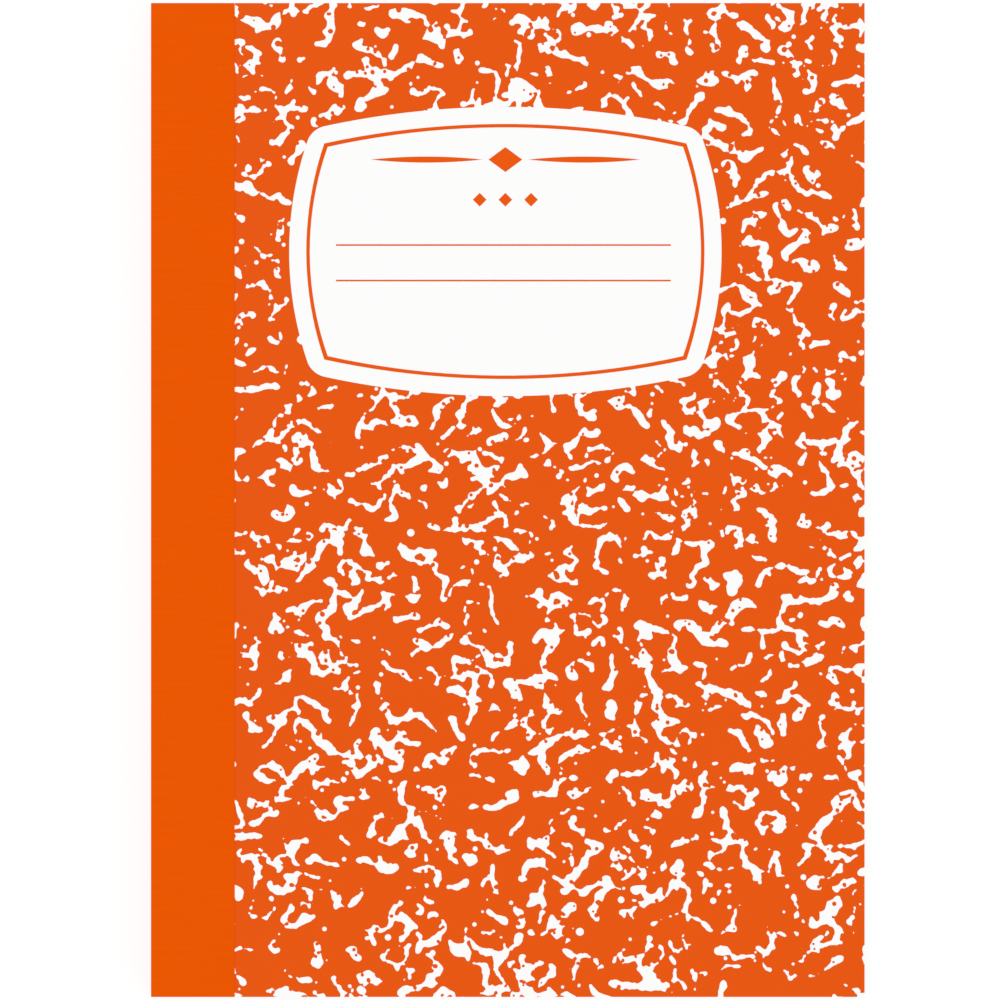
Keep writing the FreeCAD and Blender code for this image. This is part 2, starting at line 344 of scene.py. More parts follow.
# Colour on the flat faces and on the cut edges, where the bare pulp shows. Lengths in metres.
papers = {
    "marbledInk": {
        "colour": printOrange,
        "cutColour": (0.72, 0.7, 0.66),
        "roughness": 0.5,
        "specular": 0.05,
        "fibre": 0.00025,
        "cloud": 0.02,
        "contrast": 0.03,
        "bump": 0.000004,
    },
    "whitePrint": {
        "colour": (0.95, 0.95, 0.945),
        "cutColour": (0.8, 0.8, 0.78),
        "roughness": 0.5,
        "specular": 0.05,
        "fibre": 0.00025,
        "cloud": 0.02,
        "contrast": 0.012,
        "bump": 0.000004,
    },
    "labelInk": {
        "colour": tapeOrange,
        "cutColour": tapeOrange,
        "roughness": 0.45,
        "specular": 0.05,
        "fibre": 0.00025,
        "cloud": 0.01,
        "contrast": 0.03,
        "bump": 0.000004,
    },
    "endpaperStock": {
        "colour": (0.84, 0.83, 0.79),
        "cutColour": (0.8, 0.78, 0.73),
        "roughness": 0.75,
        "specular": 0.2,
        "fibre": 0.0005,
        "cloud": 0.006,
        "contrast": 0.06,
        "bump": 0.00001,
    },
    "pressboardCore": {
        "colour": pressboardBrown,
        "cutColour": pressboardBrown,
        "roughness": 0.85,
        "specular": 0.15,
        "fibre": 0.0006,
        "cloud": 0.004,
        "contrast": 0.4,
        "bump": 0.00003,
    },
}


def paperMaterial(name, colour, cutColour, roughness, specular, fibre, cloud, contrast, bump):
    material, tree, shader = newMaterial(name, roughness, specular)
    coordinates = addNode(tree, "ShaderNodeTexCoord")
    grain = placeGroup(
        tree, paperGrain, coordinates.outputs["Object"], Fibre_Size=fibre, Cloud_Size=cloud, Contrast=contrast
    )
    facing = addNode(tree, "ShaderNodeSeparateXYZ", {0: coordinates.outputs["Normal"]})
    isFlat = numberMath(tree, "GREATER_THAN", numberMath(tree, "ABSOLUTE", facing.outputs["Z"]), 0.5)
    addColour(tree, shader, mixOf(tree, "RGBA", isFlat, (*cutColour, 1), (*colour, 1)), grain.outputs["Tone"])
    gloss = addNode(
        tree,
        "ShaderNodeMapRange",
        {
            "Value": grain.outputs["Height"],
            "From Min": 0.3,
            "From Max": 0.7,
            "To Min": roughness - 0.05,
            "To Max": roughness + 0.06,
        },
    )
    tree.links.new(gloss.outputs["Result"], shader.inputs["Roughness"])
    addBump(tree, shader, grain.outputs["Height"], bump)
    return material


paper = {name: paperMaterial(name, **look) for name, look in papers.items()}

tapeLook = {"roughness": 0.6, "specular": 0.015, "pitch": 0.00045, "slub": 0.08, "depth": 0.00004, "bump": 0.6}


def tapeMaterial():
    material, tree, shader = newMaterial("tapeCloth", tapeLook["roughness"], tapeLook["specular"])
    surface = addNode(tree, "ShaderNodeUVMap", uv_map="surfaceMap")
    cloth = placeGroup(tree, bookCloth, surface.outputs[0], Pitch=tapeLook["pitch"], Slub=tapeLook["slub"])
    addColour(tree, shader, tapeOrange, cloth.outputs["Tone"])
    addBump(tree, shader, cloth.outputs["Height"], tapeLook["depth"], tapeLook["bump"])
    return material


tapeCloth = tapeMaterial()

threadLook = {"colour": (0.8, 0.79, 0.75), "plies": 1200.0, "shade": (0.75, 1.05), "depth": 0.00006}


def threadMaterial():
    # Two-ply linen: slanting plies from a wave texture along the thread.
    material, tree, shader = newMaterial("linenThread", 0.8, 0.2)
    coordinates = addNode(tree, "ShaderNodeTexCoord")
    plies = addNode(
        tree,
        "ShaderNodeTexWave",
        {"Vector": coordinates.outputs["Object"], "Scale": threadLook["plies"], "Distortion": 0.5},
        bands_direction="DIAGONAL",
    )
    low, high = threadLook["shade"]
    tone = addNode(tree, "ShaderNodeMapRange", {"Value": plies.outputs["Fac"], "To Min": low, "To Max": high})
    addColour(tree, shader, threadLook["colour"], tone.outputs["Result"])
    addBump(tree, shader, plies.outputs["Fac"], threadLook["depth"])
    return material


linenThread = threadMaterial()

pageLook = {
    "lineSpacing": 0.00873,  # wide ruled
    "lineWidth": 0.00032,
    "firstLine": 0.0345,  # from the head
    "lastLine": 0.0125,  # from the tail
    "marginLine": 0.0318,  # from the spine on the first page, from the fore edge on the last one
    "paper": (0.88, 0.865, 0.82),
    "blue": (0.27, 0.48, 0.72),
    "red": (0.78, 0.22, 0.28),
    # Painted shade: darker leaf edges stand in for the shade in the gaps between leaves; the rest is the paper's own
    # tone
    "edgeToneAndGapShade": (0.84, 1.02),  # darkest and lightest leaf edge, as shares of the paper's colour
    "fibre": 0.0005,
    "cloud": 0.005,
    "contrast": 0.05,
    "bump": 0.00001,
}


def bandMask(tree, value, middle, width):
    # 1 within half a width of the middle.
    off = numberMath(tree, "ABSOLUTE", numberMath(tree, "SUBTRACT", value, middle))
    return numberMath(tree, "LESS_THAN", off, width / 2)


def pageMaterial():
    # Ruled faces, and leaf edges whose tone changes from leaf to leaf: partly the paper's own tone, partly painted
    # shade for the gaps between leaves. The map's second number counts leaves.
    material, tree, shader = newMaterial("ruledLeaves", 0.8, 0.2)
    coordinates = addNode(tree, "ShaderNodeTexCoord")
    grain = placeGroup(
        tree,
        paperGrain,
        coordinates.outputs["Object"],
        Fibre_Size=pageLook["fibre"],
        Cloud_Size=pageLook["cloud"],
        Contrast=pageLook["contrast"],
    )
    place = addNode(tree, "ShaderNodeSeparateXYZ", {0: coordinates.outputs["Object"]})
    facing = addNode(tree, "ShaderNodeSeparateXYZ", {0: coordinates.outputs["Normal"]})
    isPage = numberMath(tree, "GREATER_THAN", numberMath(tree, "ABSOLUTE", facing.outputs["Z"]), 0.9)

    # Writing lines, one at every whole number of spacings from the first
    spacing, lineWidth = pageLook["lineSpacing"], pageLook["lineWidth"]
    firstY = blockHigh[1] - pageLook["firstLine"]
    lastY = blockLow[1] + pageLook["lastLine"]
    counted = numberMath(tree, "DIVIDE", numberMath(tree, "SUBTRACT", firstY, place.outputs["Y"]), spacing)
    fraction = numberMath(tree, "FRACT", numberMath(tree, "ADD", counted, 0.5))
    lines = bandMask(tree, fraction, 0.5, lineWidth / spacing)
    within = bandMask(tree, place.outputs["Y"], (firstY + lastY) / 2, firstY - lastY + spacing * 0.5)
    pageLines = numberMath(tree, "MULTIPLY", numberMath(tree, "MULTIPLY", lines, within), isPage)

    # Margin line
    marginX = addNode(
        tree,
        "ShaderNodeMapRange",
        {
            "Value": numberMath(tree, "GREATER_THAN", facing.outputs["Z"], 0.0),
            "To Min": blockHigh[0] - pageLook["marginLine"],
            "To Max": blockLow[0] + pageLook["marginLine"],
        },
    )
    toMargin = numberMath(tree, "SUBTRACT", place.outputs["X"], marginX.outputs["Result"])
    pageMargin = numberMath(tree, "MULTIPLY", bandMask(tree, toMargin, 0.0, lineWidth), isPage)

    # Leaf edges: the paper's own tone from leaf to leaf, with painted shade for the gaps between leaves
    leafMap = addNode(tree, "ShaderNodeUVMap", uv_map="surfaceMap")
    leafCount = addNode(tree, "ShaderNodeSeparateXYZ", {0: leafMap.outputs[0]}).outputs["Y"]
    leafToneAndShade = addNode(
        tree, "ShaderNodeTexWhiteNoise", {"W": numberMath(tree, "FLOOR", leafCount)}, noise_dimensions="1D"
    )
    bundles = addNode(
        tree, "ShaderNodeTexNoise", {"W": leafCount, "Scale": 0.45, "Detail": 2.0}, noise_dimensions="1D"
    )
    darkest, lightest = pageLook["edgeToneAndGapShade"]
    # Painted shade and paper tone: leaf edges run darker or lighter by noise over the leaf number, the dark ones as
    # shaded gaps between leaves
    edgeToneAndGapShade = addNode(
        tree,
        "ShaderNodeMapRange",
        {
            "Value": numberMath(tree, "ADD", leafToneAndShade.outputs["Value"], bundles.outputs["Fac"]),
            "From Min": 0.3,
            "From Max": 1.5,
            "To Min": darkest,
            "To Max": lightest,
        },
    )
    tone = mixOf(tree, "FLOAT", isPage, edgeToneAndGapShade.outputs["Result"], 1.0)
    ruled = mixOf(tree, "RGBA", pageLines, (*pageLook["paper"], 1), (*pageLook["blue"], 1))
    margined = mixOf(tree, "RGBA", pageMargin, ruled, (*pageLook["red"], 1))
    addColour(tree, shader, margined, numberMath(tree, "MULTIPLY", tone, grain.outputs["Tone"]))
    addBump(tree, shader, grain.outputs["Height"], pageLook["bump"])
    return material


ruledLeaves = pageMaterial()
print("materials made")


def dressNode(nodeName, material):
    mesh = nodes[nodeName].data
    mesh.materials.clear()
    mesh.materials.append(material)


for nodeName, material in (
    ("sewing_thread", linenThread),
    ("front_endpaper", paper["endpaperStock"]),
    ("back_endpaper", paper["endpaperStock"]),
    ("front_board", paper["pressboardCore"]),
    ("back_board", paper["pressboardCore"]),
    ("front_cover_sheet", paper["marbledInk"]),
    ("back_cover_sheet", paper["marbledInk"]),
    ("label_frame_line", paper["labelInk"]),
    ("label_ornament", paper["labelInk"]),
):
    dressNode(nodeName, material)
print("CAD nodes dressed")


# Leaves: fifty sheets folded into each other, every leaf's edge a small ridge

leaves = {
    "sheets": 50,
    "foldRadius": 1.6 * mm,
    "ridge": (0.22, 0.78),  # a leaf's edge stands out between these shares of its thickness
    "valley": 0.03 * mm,  # between two leaves, below their edges
    "unevenness": 0.07 * mm,  # how far one leaf's edge may stand back
    "bundles": 12,
    "bundleSheets": 5,
    "bundleUnevenness": 0.16 * mm,
    "sway": 0.03 * mm,  # slow wave of the fore edge
    "swayTurns": 1.5,
    "swayDrift": 0.2,
    "straightSteps": 8,
    "bendSteps": 7,
    "rowsAlongForeEdge": 40,
    "tailNumbers": 300,  # leaves are counted from here on the tail and the fore edge, so their tones differ
    "foreNumbers": 600,
    "seed": 4,
}


def sheetPaths(depths, foreX):
    # The way of a sheet that lies this deep: along one leaf from the fore edge to the fold, round a quarter
    # circle, up the spine, round the second quarter circle and back to the fore edge.
    depths = np.asarray(depths)[:, None]
    middleZ = (blockLow[2] + blockHigh[2]) / 2
    half = (blockHigh[2] - blockLow[2]) / 2 - depths
    radius = np.minimum(leaves["foldRadius"], half)
    left = blockLow[0] + depths
    across = np.linspace(0, 1, leaves["straightSteps"])[None, :-1]
    turn = np.linspace(0, math.pi / 2, leaves["bendSteps"])[None]
    foreX = np.asarray(foreX).reshape(-1, 1)
    straightX = foreX + (left + radius - foreX) * across
    bendX = left + radius - radius * np.sin(turn)
    bendZ = half - radius + radius * np.cos(turn)
    halfX = np.concatenate([straightX, bendX], axis=1)
    halfZ = np.concatenate([half + 0 * across, bendZ], axis=1)
    x = np.concatenate([halfX, halfX[:, ::-1]], axis=1)
    z = middleZ + np.concatenate([-halfZ, halfZ[:, ::-1]], axis=1)
    return x, z


def buildLeaves():
    choose = np.random.default_rng(leaves["seed"])
    sheets = leaves["sheets"]
    thickness = (blockHigh[2] - blockLow[2]) / 2 / sheets
    shares = np.array([0.0, *leaves["ridge"]])
    depthCount = (np.arange(sheets)[:, None] + shares).ravel()
    depthCount = np.append(depthCount, sheets)
    depths = depthCount * thickness
    sheetOf = np.minimum(depthCount.astype(int), sheets - 1)
    inValley = np.append(np.tile([1.0, 0.0, 0.0], sheets), 1.0) * leaves["valley"]

    def recess():
        # How far each leaf edge stands back: its own share and its bundle's.
        own = choose.random(sheets) ** 2 * leaves["unevenness"]
        bundle = np.repeat(choose.random(leaves["bundles"]) ** 2, leaves["bundleSheets"])[:sheets]
        return (own + bundle * leaves["bundleUnevenness"])[sheetOf] + inValley

    rows = leaves["rowsAlongForeEdge"]
    along = np.linspace(0, 1, rows)
    foreBottom, foreTop = recess(), recess()
    headEdge, tailEdge = recess(), recess()
    drift = choose.random(len(depths))[sheetOf][:, None] * leaves["swayDrift"]
    wave = leaves["sway"] * np.sin(2 * math.pi * (along[None] * leaves["swayTurns"] + drift))
    wave = wave - wave.max(axis=1, keepdims=True)
    points, faces, maps = [], [], []

    def add(x, y, z, u, v, flip):
        shape = np.broadcast_shapes(x.shape, y.shape, z.shape)
        start = sum(len(p) for p in points)
        points.append(asPoints(x, y, z))
        maps.append(np.stack([np.broadcast_to(u, shape).ravel(), np.broadcast_to(v, shape).ravel()], axis=1))
        faces.append(gridFaces(shape[0], shape[1], start, flip))

    xBottom, zPath = sheetPaths(depths, blockHigh[0] - foreBottom + wave[:, 0])
    xTop = sheetPaths(depths, blockHigh[0] - foreTop + wave[:, 0])[0]
    half = xBottom.shape[1] // 2
    pathX = np.concatenate([xBottom[:, :half], xTop[:, half:]], axis=1)
    pathU = np.linspace(0, 1, pathX.shape[1])[None]
    yHead = (blockHigh[1] - headEdge)[:, None]
    yTail = (blockLow[1] + tailEdge)[:, None]
    add(pathX, yHead, zPath, pathU, depthCount[:, None], True)
    add(pathX, yTail, zPath, pathU, depthCount[:, None] + leaves["tailNumbers"], False)

    # Outside of the outermost sheet, and the fore edge from the lowest leaf to the highest
    outerY = yTail[0] + (yHead[0] - yTail[0]) * along[:, None]
    add(pathX[:1], outerY, zPath[:1], pathU, np.full((1, 1), 0.5), True)
    lowZ, highZ = zPath[:, 0], zPath[::-1, -1]
    columnZ = np.concatenate([lowZ, highZ])[:, None]
    back = np.concatenate([foreBottom, foreTop[::-1]])[:, None]
    columnWave = np.concatenate([wave, wave[::-1]])
    columnWave[:, -1] = columnWave[:, 0]  # both ends meet the head and the tail
    foreX = blockHigh[0] - back + columnWave
    head = np.concatenate([yHead[:, 0], yHead[::-1, 0]])[:, None]
    tail = np.concatenate([yTail[:, 0], yTail[::-1, 0]])[:, None]
    foreY = tail + (head - tail) * along[None]
    leafNumber = np.concatenate([depthCount, 2 * sheets - depthCount[::-1]])[:, None] + leaves["foreNumbers"]
    add(foreX, foreY, columnZ, along[None], leafNumber, True)
    points, faces, maps = (np.concatenate(rowsOf) for rowsOf in (points, faces, maps))
    return makePiece("foldedLeaves", points, faces, ruledLeaves, maps)


foldedLeaves = buildLeaves()
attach(foldedLeaves, "pages")
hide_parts("text_block")
print("leaves folded:", len(foldedLeaves.data.polygons), "faces")


# Cloth tape: one strip for each cover, from the middle of the spine round the hinge and on over the cover

tape = {
    "thickness": flapHigh[2] - sheetHigh[2],
    "spineRow": 1.0 * mm,  # a row of points this far below the hinge, then one at every step within its reach
    "hingeStep": 0.03 * mm,
    "hingeReach": 0.18 * mm,
    "blendReach": 0.12 * mm,
    "bendSteps": 8,
    "acrossSteps": 6,
    "rows": 25,
}


def tapeSection(side):
    # Outer and inner line of the strip's section, with the length along it: up the spine, round a quarter circle
    # at the cover's edge and across the cover.
    low, high = (flapLow, flapHigh) if side > 0 else (backFlapLow, backFlapHigh)
    thick, reach = tape["thickness"], tape["hingeReach"]
    hingeZ, outerZ = (blockHigh[2], high[2]) if side > 0 else (blockLow[2], low[2])
    up = abs(outerZ - hingeZ)
    downToMiddle = abs(hingeZ - (blockLow[2] + blockHigh[2]) / 2)
    fine = np.arange(-reach, reach + 1e-9, tape["hingeStep"])
    rise = np.concatenate([[-downToMiddle, -tape["spineRow"]], fine, [0.5 * up, up - thick]])
    turn = np.linspace(0, math.pi / 2, tape["bendSteps"])[1:]
    across = np.linspace(0, 1, tape["acrossSteps"])[1:]
    spineOuter, spineInner = low[0], low[0] + thick
    acrossX = spineInner + (high[0] - spineInner) * across
    outerX = np.concatenate([np.full(len(rise), spineOuter), spineInner - thick * np.cos(turn), acrossX])
    outerRise = np.concatenate([rise, up - thick + thick * np.sin(turn), np.full(len(across), up)])
    innerX = np.concatenate([np.full(len(rise) + len(turn), spineInner), acrossX])
    innerRise = np.concatenate([rise, np.full(len(turn) + len(across), up - thick)])
    length = np.concatenate([[0], np.cumsum(np.hypot(np.diff(outerX), np.diff(outerRise)))])
    return outerX, hingeZ + side * outerRise, innerX, hingeZ + side * innerRise, length


def buildTape(name, side):
    outerX, outerZ, innerX, innerZ, length = tapeSection(side)
    y = np.linspace(flapLow[1], flapHigh[1], tape["rows"])[:, None]
    loopX = np.concatenate([outerX, innerX[::-1]])[None]
    loopZ = np.concatenate([outerZ, innerZ[::-1]])[None]
    loopX = np.concatenate([loopX, loopX[:, :1]], axis=1)
    loopZ = np.concatenate([loopZ, loopZ[:, :1]], axis=1)
    loopLength = np.concatenate([length, length[::-1], length[:1]])[None]
    points = asPoints(loopX, y, loopZ)
    shape = (len(y), loopX.shape[1])
    maps = np.stack([np.broadcast_to(loopLength, shape).ravel(), np.broadcast_to(y, shape).ravel()], axis=1)
    walls = gridFaces(*shape, flip=side < 0)
    count = len(outerX)
    ends = []
    for end, endFlip in ((0, side > 0), (len(y) - 1, side < 0)):
        outer = end * shape[1] + np.arange(count)
        inner = end * shape[1] + 2 * count - 1 - np.arange(count)
        quads = np.stack([outer[:-1], inner[:-1], inner[1:], outer[1:]], axis=1)
        ends.append(quads if endFlip else quads[:, ::-1])
    return makePiece(name, points, np.concatenate([walls, *ends]), tapeCloth, maps)


for name, side, body, flapNode in (
    ("frontTape", 1, "front_cover", "front_tape_flap"),
    ("backTape", -1, "back_cover", "back_tape_flap"),
):
    strip = buildTape(name, side)
    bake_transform(strip)
    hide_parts(flapNode, "spine_tape")
print("tape laid round the spine")


# Marbling: white strokes that grow over the orange sheet, as thin fields of white

marbling = {
    "step": 0.25 * mm,
    "margin": 12,  # steps that are worked out beyond the sheet's edges
    "whiteShare": 0.213,
    "lift": 0.015 * mm,
    "frontSeed": 5,
    "backSeed": 23,
    "labelOverlap": 1.2,  # millimetres by which strokes run in under the label
    "edge": 1.171,  # softness of a stroke's edge, and the blur in millimetres that rounds its outline
    "blur": 0.21,
    "swells": ((0.15, 0.718), (0.174, 5.983)),  # share by which strokes swell and shrink, and over what distance
    "ripple": (0.15, 1.835),
    "waveFrequency": 0.75,  # to the wavelength
    "waveBand": 0.35,
    "dots": (0.9, 0.97),  # small white rounds for each square centimetre, and the reach of each
    "pinholes": (16.0, 0.85),  # these stay only in the widest white
    "pinholeGround": 0.9,
    "pinholeBlur": 0.45,
    "roundSpread": 0.3,
    "roundLevel": 0.25,  # a round shows where its bump is over this height
    "roundSteepness": 1.5,
}

# Strokes in millimetres and radians. Each starts away from the others and grows both ways along a turning path.
strokes = {
    "tries": 28.82,  # for each square centimetre
    "apart": 3.3,
    "clear": 2.2,  # where a stroke stops before another
    "touch": 0.5,  # where a stroke stops that runs on to the next
    "joining": 0.8,  # share of such strokes
    "patches": 0.27,  # how much the spacing varies over the cover, and over what distance
    "patchSize": 20.549,
    "length": 10.0,
    "lengthSpread": 0.525,
    "longest": 22.0,
    "curl": 0.1,
    "curlKept": 0.8,  # share of the curl, and of the swell below, that stays from step to step
    "curlNew": 0.6,
    "bend": 0.28,
    "kinks": 0.4,  # for each millimetre
    "kinkTurn": 0.9,
    "levelling": 1.12,  # stretch along the level, which makes more strokes lie level
    "branches": 0.52,  # for each millimetre
    "branchTurn": (1.15, 0.3),
    "branchLength": 1.25,
    "branchSpread": 0.7,
    "branchReach": 0.92,
    "reach": 1.15,
    "reachSpread": 0.138,
    "swell": 0.26,
    "swellKept": 0.72,
    "swellNew": 0.69,
    "shake": 0.123,
    "step": 0.5,
    "cell": 4.0,
}


def grownStrokes(choose, width, height):
    # Rows of small bumps, each with its place and reach. A net of cells finds the strokes that are near.
    cells = {}
    cell, step = strokes["cell"], strokes["step"]
    patches = waves(choose, (int(height) + 2, int(width) + 2), 1.0, strokes["patchSize"])
    patches = np.exp(strokes["patches"] * np.clip(patches, -2, 2))

    def spacing(x, y):
        row, column = min(max(int(y), 0), patches.shape[0] - 1), min(max(int(x), 0), patches.shape[1] - 1)
        return patches[row, column]

    def nearest(x, y, own):
        column, row = int(x // cell), int(y // cell)
        best = 99.0
        for i in (-1, 0, 1):
            for j in (-1, 0, 1):
                for otherX, otherY, owner in cells.get((column + i, row + j), ()):
                    if owner != own:
                        best = min(best, (otherX - x) * (otherX - x) + (otherY - y) * (otherY - y))
        return math.sqrt(best)

    def grow(x, y, heading, length, curl, reach, own, branching):
        made = []
        swell = choose.normal()
        joining = choose.random() < strokes["joining"]
        usualTurn, turnSpread = strokes["branchTurn"]
        for turn in range(int(length / step)):
            curl = strokes["curlKept"] * curl + strokes["curlNew"] * strokes["bend"] * choose.normal()
            heading += curl * step
            if choose.random() < strokes["kinks"] * step:
                heading += strokes["kinkTurn"] * choose.normal()
            x += math.cos(heading) * step * strokes["levelling"]
            y += math.sin(heading) * step / strokes["levelling"]
            if nearest(x, y, own) < (strokes["touch"] if joining else strokes["clear"] * spacing(x, y)):
                break
            swell = strokes["swellKept"] * swell + strokes["swellNew"] * choose.normal()
            made.append((x, y, reach * math.exp(strokes["swell"] * swell)))
            if branching and choose.random() < strokes["branches"] * step:
                side = 1 if choose.random() < 0.5 else -1
                aside = heading + side * (usualTurn + turnSpread * choose.normal())
                far = strokes["branchLength"] * math.exp(strokes["branchSpread"] * choose.normal())
                made += grow(x, y, aside, far, 0.0, strokes["branchReach"] * reach, own, False)
        return made

    bumps = []
    for own in range(int(width * height * strokes["tries"] / 100)):
        x, y = choose.random() * width, choose.random() * height
        if nearest(x, y, None) < strokes["apart"] * spacing(x, y):
            continue
        length = min(strokes["length"] * math.exp(strokes["lengthSpread"] * choose.normal()), strokes["longest"])
        reach = strokes["reach"] * math.exp(strokes["reachSpread"] * choose.normal())
        heading = choose.random() * 2 * math.pi
        curl = strokes["curl"] * choose.normal()
        made = [(x, y, reach)]
        for away in (0, math.pi):
            made += grow(x, y, heading + away, length / 2, curl, reach, own, True)
        for bumpX, bumpY, size in made:
            cells.setdefault((int(bumpX // cell), int(bumpY // cell)), []).append((bumpX, bumpY, own))
        bumps += made
    return np.array(bumps).T


def bumpField(shape, step, x, y, reach):
    # The sum of (1 - distance^2 / reach^2)^2 round each place.
    total = np.zeros(shape)
    far = int(np.ceil(reach.max() / step))
    near = np.arange(-far, far + 1)
    offX, offY = (part.ravel()[None] for part in np.meshgrid(near, near))
    column = np.round(x / step).astype(int)[:, None] + offX
    row = np.round(y / step).astype(int)[:, None] + offY
    distance = (column * step - x[:, None]) ** 2 + (row * step - y[:, None]) ** 2
    height = np.maximum(1 - distance / reach[:, None] ** 2, 0) ** 2
    valid = (column >= 0) & (row >= 0) & (column < shape[1]) & (row < shape[0]) & (height > 0)
    np.add.at(total, (row[valid], column[valid]), height[valid])
    return total


def waves(choose, shape, step, wavelength):
    # Random waves of about one wavelength, with a spread of 1: noise that is filtered round one frequency.
    acrossX = np.fft.rfftfreq(shape[1], step)[None]
    acrossY = np.fft.fftfreq(shape[0], step)[:, None]
    frequency = np.hypot(acrossX, acrossY) * wavelength
    offBand = (frequency - marbling["waveFrequency"]) / marbling["waveBand"]
    spectrum = np.fft.rfft2(choose.standard_normal(shape)) * np.exp(-0.5 * offBand**2)
    field = np.fft.irfft2(spectrum, shape)
    return field / field.std()


def blurred(field, step, width):
    acrossX = np.fft.rfftfreq(field.shape[1], step)[None]
    acrossY = np.fft.fftfreq(field.shape[0], step)[:, None]
    filterBy = np.exp(-2 * (math.pi * width) ** 2 * (acrossX**2 + acrossY**2))
    return np.fft.irfft2(np.fft.rfft2(field) * filterBy, field.shape)


def marbledField(seed, low, high):
    # Negative where white shows. Worked out in millimetres over the sheet's bare field.
    choose = np.random.default_rng(seed)
    step = marbling["step"] / mm
    columns = int(round((high[0] - low[0]) / marbling["step"])) + 1
    rows = int(round((high[1] - low[1]) / marbling["step"])) + 1
    margin = marbling["margin"]
    shape = (rows + 2 * margin, columns + 2 * margin)
    width, height = shape[1] * step, shape[0] * step
    x, y, reach = grownStrokes(choose, width, height)
    x = x + strokes["shake"] * choose.standard_normal(len(x))
    y = y + strokes["shake"] * choose.standard_normal(len(y))
    total = bumpField(shape, step, x, y, reach)
    for amount, wavelength in marbling["swells"]:
        total = total * np.exp(amount * waves(choose, shape, step, wavelength))
    amount, wavelength = marbling["ripple"]
    total = total + amount * waves(choose, shape, step, wavelength)
    share = 1 - marbling["whiteShare"]
    total = np.clip((total - np.quantile(total, share)) / marbling["edge"] * 0.5 + 0.5, 0, 1)
    total = blurred(total, step, marbling["blur"])
    total = total - np.quantile(total, share)
    soft = blurred(total, step, marbling["pinholeBlur"])
    wide = np.quantile(soft, marbling["pinholeGround"])
    for (often, size), sign in ((marbling["dots"], 1), (marbling["pinholes"], -1)):
        count = int(width * height * often / 100)
        x, y = choose.random(count) * width, choose.random(count) * height
        size = size * np.exp(marbling["roundSpread"] * choose.standard_normal(count))
        if sign < 0:
            inWide = soft[(y / step).astype(int), (x / step).astype(int)] > wide
            x, y, size = x[inWide], y[inWide], size[inWide]
        rounds = bumpField(shape, step, x, y, size)
        total = total + sign * np.clip((rounds - marbling["roundLevel"]) * marbling["roundSteepness"], 0, 1)
    return -total[margin : margin + rows, margin : margin + columns]


def contourLines(field, x, y):
    # Marching squares: a point on every side of the net where the field changes sign, and a line through each
    # cell that joins them, turned so that the negative ground lies on its left.
    inside = field < 0
    crossX = inside[:, :-1] != inside[:, 1:]
    crossY = inside[:-1] != inside[1:]
    numberX = np.full(crossX.shape, -1)
    numberY = np.full(crossY.shape, -1)
    numberX[crossX] = np.arange(crossX.sum())
    numberY[crossY] = crossX.sum() + np.arange(crossY.sum())

    def share(a, b):
        # How far along a side the field is nothing, but never at a corner of the net.
        least = 0.06
        return np.clip(a / np.where(a == b, 1, a - b), least, 1 - least)

    rowX, columnX = np.nonzero(crossX)
    rowY, columnY = np.nonzero(crossY)
    partX = share(field[rowX, columnX], field[rowX, columnX + 1])
    partY = share(field[rowY, columnY], field[rowY + 1, columnY])
    stepX, stepY = x[1] - x[0], y[1] - y[0]
    points = np.concatenate(
        [
            np.stack([x[columnX] + partX * stepX, y[rowX]], axis=1),
            np.stack([x[columnY], y[rowY] + partY * stepY], axis=1),
        ]
    )
    sides = np.stack([numberX[:-1], numberY[:, 1:], numberX[1:], numberY[:, :-1]], axis=-1)  # low, right, high, left
    count = (sides >= 0).sum(axis=-1)
    pairs = []
    two = count == 2
    sidesOfTwo = np.sort(sides[two], axis=1)[:, 2:]
    pairs.append(sidesOfTwo)
    rowOf = [np.nonzero(two)[0]]
    columnOf = [np.nonzero(two)[1]]
    four = count == 4
    corner = inside[:-1, :-1][four]
    middle = (field[:-1, :-1] + field[1:, :-1] + field[:-1, 1:] + field[1:, 1:])[four] < 0
    low, right, high, left = sides[four].T
    together = corner == middle  # the low left corner is joined to the high right one
    pairs.append(np.stack([low, np.where(together, right, left)], axis=1))
    pairs.append(np.stack([high, np.where(together, left, right)], axis=1))
    rowOf += [np.nonzero(four)[0]] * 2
    columnOf += [np.nonzero(four)[1]] * 2
    pairs, rowOf, columnOf = np.concatenate(pairs), np.concatenate(rowOf), np.concatenate(columnOf)
    start, end = points[pairs[:, 0]], points[pairs[:, 1]]
    midway = (start + end) / 2
    u = (midway[:, 0] - x[columnOf]) / stepX
    v = (midway[:, 1] - y[rowOf]) / stepY
    f00, f10 = field[rowOf, columnOf], field[rowOf, columnOf + 1]
    f01, f11 = field[rowOf + 1, columnOf], field[rowOf + 1, columnOf + 1]
    slopeX = (1 - v) * (f10 - f00) + v * (f11 - f01)
    slopeY = (1 - u) * (f01 - f00) + u * (f11 - f10)
    onLeft = -(end[:, 1] - start[:, 1]) * slopeX + (end[:, 0] - start[:, 0]) * slopeY < 0
    pairs = np.where(onLeft[:, None], pairs, pairs[:, ::-1])
    return points, pairs


